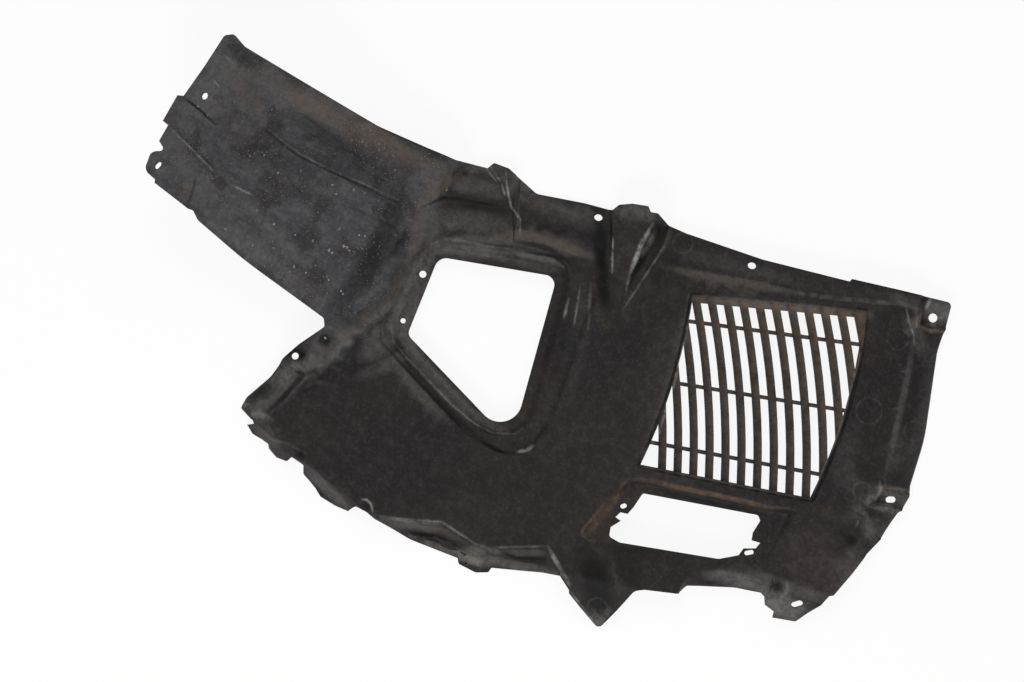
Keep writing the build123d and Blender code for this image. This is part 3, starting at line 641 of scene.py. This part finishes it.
def paint_marks(mesh):
    """Wear, dust, dirt, rust, soot and chips on the face that the wheel sees, with painted highlights,
    painted light and painted shade among them.
    """
    points = np.empty(3 * len(mesh.vertices))
    mesh.vertices.foreach_get("co", points)
    normals = np.empty(3 * len(mesh.vertices))
    mesh.vertices.foreach_get("normal", normals)
    points = points.reshape(-1, 3)
    places = in_picture(points)
    front = np.clip(normals.reshape(-1, 3)[:, 2] / marked_rise, 0, 1)
    grille = inside_outline(places, grille_corners)
    sides = grille * slat_sides(points)
    right, down = places.T
    # Painted light on the grille: paler away from its shaded corner
    rightward = (right - shaded_corner[0]) / lit_over[0]
    upward = (shaded_corner[1] - down) / lit_over[1]
    lit_share = np.clip(rightward + upward, 0, 1)
    grille_dirt_and_light = grille * (slat_dirt + slat_dirt_and_light_gain * lit_share)
    grille_rust_and_light = grille * (slat_rust + slat_rust_and_light_gain * lit_share)
    rings = ring_strength * faded(ring_gap(places, mould_rings), ring_half_width)
    chip_marks = {i: ([place], radius, chip_strength) for i, (*place, radius) in enumerate(paint_chips)}
    # Painted shade and soot, kept off the grille
    shade_and_soot = mark_strength(places, shade_and_soot_lines) * (1 - grille)
    # Wear and painted highlights, with the mould rings
    paint(mesh, "worn_and_highlight", front * np.maximum(mark_strength(places, wear_and_highlight_lines), rings))
    # Dust and painted light, with painted light on each slat's right side
    paint(mesh, "dust", front * np.maximum(mark_strength(places, dust_and_light_lines), slat_light * sides))
    paint(mesh, "dirt", np.maximum(front * mark_strength(places, dirt_lines), grille_dirt_and_light))
    paint(mesh, "rust", front * np.maximum(mark_strength(places, rust_lines), grille_rust_and_light))
    # Painted shade on each slat's left side
    paint(mesh, "shade_and_soot", front * np.maximum(shade_and_soot, -slat_shade * sides))
    paint(mesh, "chips", front * mark_strength(places, chip_marks))


def moulded_skin():
    """The liner's sheet as one mesh, with softly rounded folds and its marks."""
    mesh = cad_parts["liner"].data.copy()
    mesh.name = "liner_skin"
    bm = bmesh.new()
    bm.from_mesh(mesh)
    bmesh.ops.remove_doubles(bm, verts=bm.verts, dist=merge_gap * millimetre)
    bm.normal_update()
    folds = fold_tree(bm)
    cut_into_cells(bm)
    refine(bm, lambda middles: edge_by_folds(folds, middles), fold_refinements)
    round_folds(bm, folds)
    refine(bm, edge_by_marks, mark_refinements)
    for face in bm.faces:
        face.smooth = True
    for edge in bm.edges:
        whole = all(face.calc_area() > sliver_area for face in edge.link_faces)
        edge.smooth = edge.calc_face_angle(0.0) < sharp_angle or not whole
    bm.to_mesh(mesh)
    bm.free()
    mesh.materials.clear()
    paint_marks(mesh)
    piece = bpy.data.objects.new("liner_skin", mesh)
    bpy.context.scene.collection.objects.link(piece)
    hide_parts("liner")
    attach(piece, "root")
    return piece


class Flow:
    """A value in a material's node tree. Arithmetic on it adds Math nodes."""

    def __init__(self, tree, socket=None):
        self.tree = tree
        self.socket = socket

    def node(self, kind, settings=None, inputs=None, output=0):
        """Adds any node: its settings first, then the values or links of its sockets."""
        made = self.tree.nodes.new(kind)
        for name, value in (settings or {}).items():
            setattr(made, name, value)
        for name, value in (inputs or {}).items():
            if isinstance(value, Flow):
                self.tree.links.new(value.socket, made.inputs[name])
            else:
                made.inputs[name].default_value = value
        return Flow(self.tree, made.outputs[output])

    def maths(self, operation, first, second):
        """Adds a Math node on two values."""
        return self.node("ShaderNodeMath", {"operation": operation}, {0: first, 1: second})

    def __add__(self, other):
        return self.maths("ADD", self, other)

    __radd__ = __add__

    def __sub__(self, other):
        return self.maths("SUBTRACT", self, other)

    def __rsub__(self, other):
        return self.maths("SUBTRACT", other, self)

    def __mul__(self, other):
        return self.maths("MULTIPLY", self, other)

    __rmul__ = __mul__

    def blend(self, colour, other):
        """Colour mixed over to another by this value."""
        return self.node(
            "ShaderNodeMix",
            {"data_type": "RGBA", "clamp_factor": True},
            {0: self, 6: colour, 7: other},
            output=2,
        )

    def between(self, low, high):
        """0 up to low, 1 from high on, smooth in between. With low above high it falls."""
        return self.node(
            "ShaderNodeMapRange",
            {"interpolation_type": "SMOOTHSTEP"},
            {0: self, 1: low, 2: high, 3: 0.0, 4: 1.0},
        )


def srgb(red, green, blue):
    """Colour given as display values from 0 to 255."""
    shares = [value / 255 for value in (red, green, blue)]
    linear = [c / 12.92 if c < 0.04045 else ((c + 0.055) / 1.055) ** 2.4 for c in shares]
    return (*linear, 1.0)


charcoal = srgb(38, 34, 33)
charcoal_dark = srgb(29, 27, 27)
strip_grey = srgb(61, 61, 64)
# Grey of dust, and of painted light
dust_and_light_grey = srgb(90, 88, 87)
road_brown = srgb(86, 75, 65)
rust_brown = srgb(102, 82, 68)
# Pale grey of wear, specks and painted highlights
wear_and_highlight_grey = srgb(142, 140, 136)
chip_white = srgb(172, 170, 168)
# Black of painted shade and soot
shade_and_soot_black = srgb(8, 8, 8)
floor_grey = srgb(235, 235, 235)


def worn_plastic():
    """Black moulded plastic, dulled by road dirt, with painted highlights, painted light and painted shade
    from its marks.
    """
    material = bpy.data.materials.new("worn_plastic")
    material.use_nodes = True
    tree = material.node_tree
    surface = tree.nodes["Principled BSDF"]
    place = Flow(tree).node("ShaderNodeTexCoord", output=3)

    def noise(scale, detail, roughness, vector=place):
        """Pattern of the surface, from 0 to 1."""
        sockets = {"Vector": vector, "Scale": scale, "Detail": detail, "Roughness": roughness}
        return place.node("ShaderNodeTexNoise", None, sockets)

    def film(pattern, low, high, added_on_strip, all_over):
        """Share of a film on the plastic, broken up by a pattern and thicker on the strip."""
        return pattern.between(low, high) * (strip * added_on_strip + all_over)

    def mark(name):
        """Strength of a mark, as painted on the mesh."""
        return place.node("ShaderNodeAttribute", {"attribute_name": name}, output=2)

    # Patterns, from wide clouds to the fine grain, and the strip's own share of the surface
    cloud = noise(scale=8.0, detail=6.0, roughness=0.6)
    blotch = noise(scale=30.0, detail=6.0, roughness=0.65)
    mottle = noise(scale=110.0, detail=5.0, roughness=0.7)
    grit = noise(scale=280.0, detail=4.0, roughness=0.7)
    grain = noise(scale=600.0, detail=2.0, roughness=0.5)
    stretched = place.node("ShaderNodeVectorMath", {"operation": "MULTIPLY"}, {0: place, 1: streak_stretch})
    streak = noise(scale=1.0, detail=4.0, roughness=0.7, vector=stretched)
    along = place.node("ShaderNodeSeparateXYZ", None, {0: place})
    across = place.node("ShaderNodeSeparateXYZ", None, {0: place}, output=1)
    strip = (1 - along.between(*strip_end_along)) * across.between(*strip_end_across)

    # Bare plastic, greyer on the strip, under a film of dust, brown dirt and streaks
    colour = cloud.between(0.35, 0.7).blend(charcoal_dark, charcoal)
    colour = strip.blend(colour, strip_grey)
    dust = film(mottle, low=0.45, high=0.7, added_on_strip=0.4, all_over=0.1)
    fine_dust = film(grit, low=0.5, high=0.68, added_on_strip=0.4, all_over=0.12)
    brown_film = cloud.between(0.5, 0.8) * mottle.between(0.4, 0.7) * 0.2
    pale_streaks = film(streak, low=0.5, high=0.75, added_on_strip=0.24, all_over=0.04)
    dark_streaks = film(streak, low=0.52, high=0.3, added_on_strip=0.3, all_over=0.06)
    bare_blotches = film(blotch, low=0.48, high=0.62, added_on_strip=0.5, all_over=0.1)
    colour = dust.blend(colour, dust_and_light_grey)
    colour = fine_dust.blend(colour, dust_and_light_grey)
    colour = brown_film.blend(colour, road_brown)
    colour = pale_streaks.blend(colour, dust_and_light_grey)
    colour = dark_streaks.blend(colour, charcoal_dark)
    colour = bare_blotches.blend(colour, charcoal)

    # Marks, most of them broken up into patches, then painted shade, scuffs with painted highlights, the
    # specks and chips
    patch = mottle.between(0.3, 0.65) * 0.45 + grit.between(0.35, 0.65) * 0.3 + 0.35
    # The dust mark holds painted light as well
    for name, tint in (("dust", dust_and_light_grey), ("dirt", road_brown), ("rust", rust_brown)):
        colour = (mark(name) * patch).blend(colour, tint)
    # Scuffs and painted highlights, broken up by the mottle
    scuffs_and_highlights = mark("worn_and_highlight") * (mottle.between(0.35, 0.62) * 0.75 + 0.2)
    specks = blotch.between(0.42, 0.58) * film(grain, low=0.64, high=0.72, added_on_strip=0.5, all_over=0.06)
    chips = mark("chips") * grain.between(0.42, 0.54)
    # Painted shade and soot, in near black
    colour = mark("shade_and_soot").blend(colour, shade_and_soot_black)
    colour = scuffs_and_highlights.blend(colour, wear_and_highlight_grey)
    colour = specks.blend(colour, wear_and_highlight_grey)
    colour = chips.blend(colour, chip_white)

    # Relief of the grain, and an even low gloss
    relief = {"Strength": grain_strength, "Distance": millimetre, "Height": mottle + grain * grain_share}
    bump = place.node("ShaderNodeBump", None, relief)
    tree.links.new(colour.socket, surface.inputs["Base Color"])
    tree.links.new(bump.socket, surface.inputs["Normal"])
    surface.inputs["Roughness"].default_value = plastic_roughness
    surface.inputs["Specular IOR Level"].default_value = plastic_gloss
    return material


def pale_floor():
    """Floor that shows white to the camera and keeps a soft shadow."""
    bm = bmesh.new()
    bmesh.ops.create_grid(bm, x_segments=1, y_segments=1, size=floor_half_size)
    mesh = bpy.data.meshes.new("floor")
    bm.to_mesh(mesh)
    bm.free()
    floor = bpy.data.objects.new("floor", mesh)
    bpy.context.scene.collection.objects.link(floor)
    material = bpy.data.materials.new("pale_floor")
    material.use_nodes = True
    tree = material.node_tree
    seen = sum(Flow(tree).node("ShaderNodeLightPath", output=name) for name in white_rays)
    surface = tree.nodes["Principled BSDF"]
    surface.inputs["Base Color"].default_value = floor_grey
    surface.inputs["Roughness"].default_value = floor_roughness
    matte = Flow(tree, surface.outputs[0])
    glow = seen.node("ShaderNodeEmission", None, {"Color": white, "Strength": 1.0})
    mixed = seen.node("ShaderNodeMixShader", None, {0: seen * floor_glow, 1: matte, 2: glow})
    tree.links.new(mixed.socket, tree.nodes["Material Output"].inputs["Surface"])
    mesh.materials.append(material)


def soft_lamp(name, place, size, power):
    """Large square lamp that points at the origin."""
    light = bpy.data.lights.new(name, "AREA")
    light.size = size
    light.energy = power
    lamp = bpy.data.objects.new(name, light)
    lamp.location = place
    lamp.rotation_euler = (-lamp.location).to_track_quat("-Z", "Y").to_euler()
    bpy.context.scene.collection.objects.link(lamp)


def studio():
    """Even world light and two soft lamps."""
    world = bpy.data.worlds.new("studio")
    world.use_nodes = True
    background = world.node_tree.nodes["Background"]
    background.inputs["Color"].default_value = white
    background.inputs["Strength"].default_value = world_strength
    bpy.context.scene.world = world
    soft_lamp("key_lamp", place=(0.45, -1.85, 1.9), size=1.2, power=44)
    soft_lamp("fill_lamp", place=(-0.8, 1.4, 2.4), size=1.6, power=32)


def camera_above():
    """Camera that looks straight down."""
    data = bpy.data.cameras.new("camera")
    data.sensor_width = sensor
    data.lens = sensor * pixels_per_millimetre * camera_distance / picture_size[0]
    camera = bpy.data.objects.new("camera", data)
    camera.location = (
        (camera_over[0] + drawing_shift[0]) * millimetre,
        (camera_over[1] + drawing_shift[1]) * millimetre,
        (panel_height + camera_distance) * millimetre,
    )
    camera.rotation_euler = (0, 0, camera_turn)
    bpy.context.scene.collection.objects.link(camera)
    bpy.context.scene.camera = camera


skin = moulded_skin()
skin.data.materials.append(worn_plastic())
pale_floor()
studio()
camera_above()
bpy.context.scene.view_settings.view_transform = "Standard"
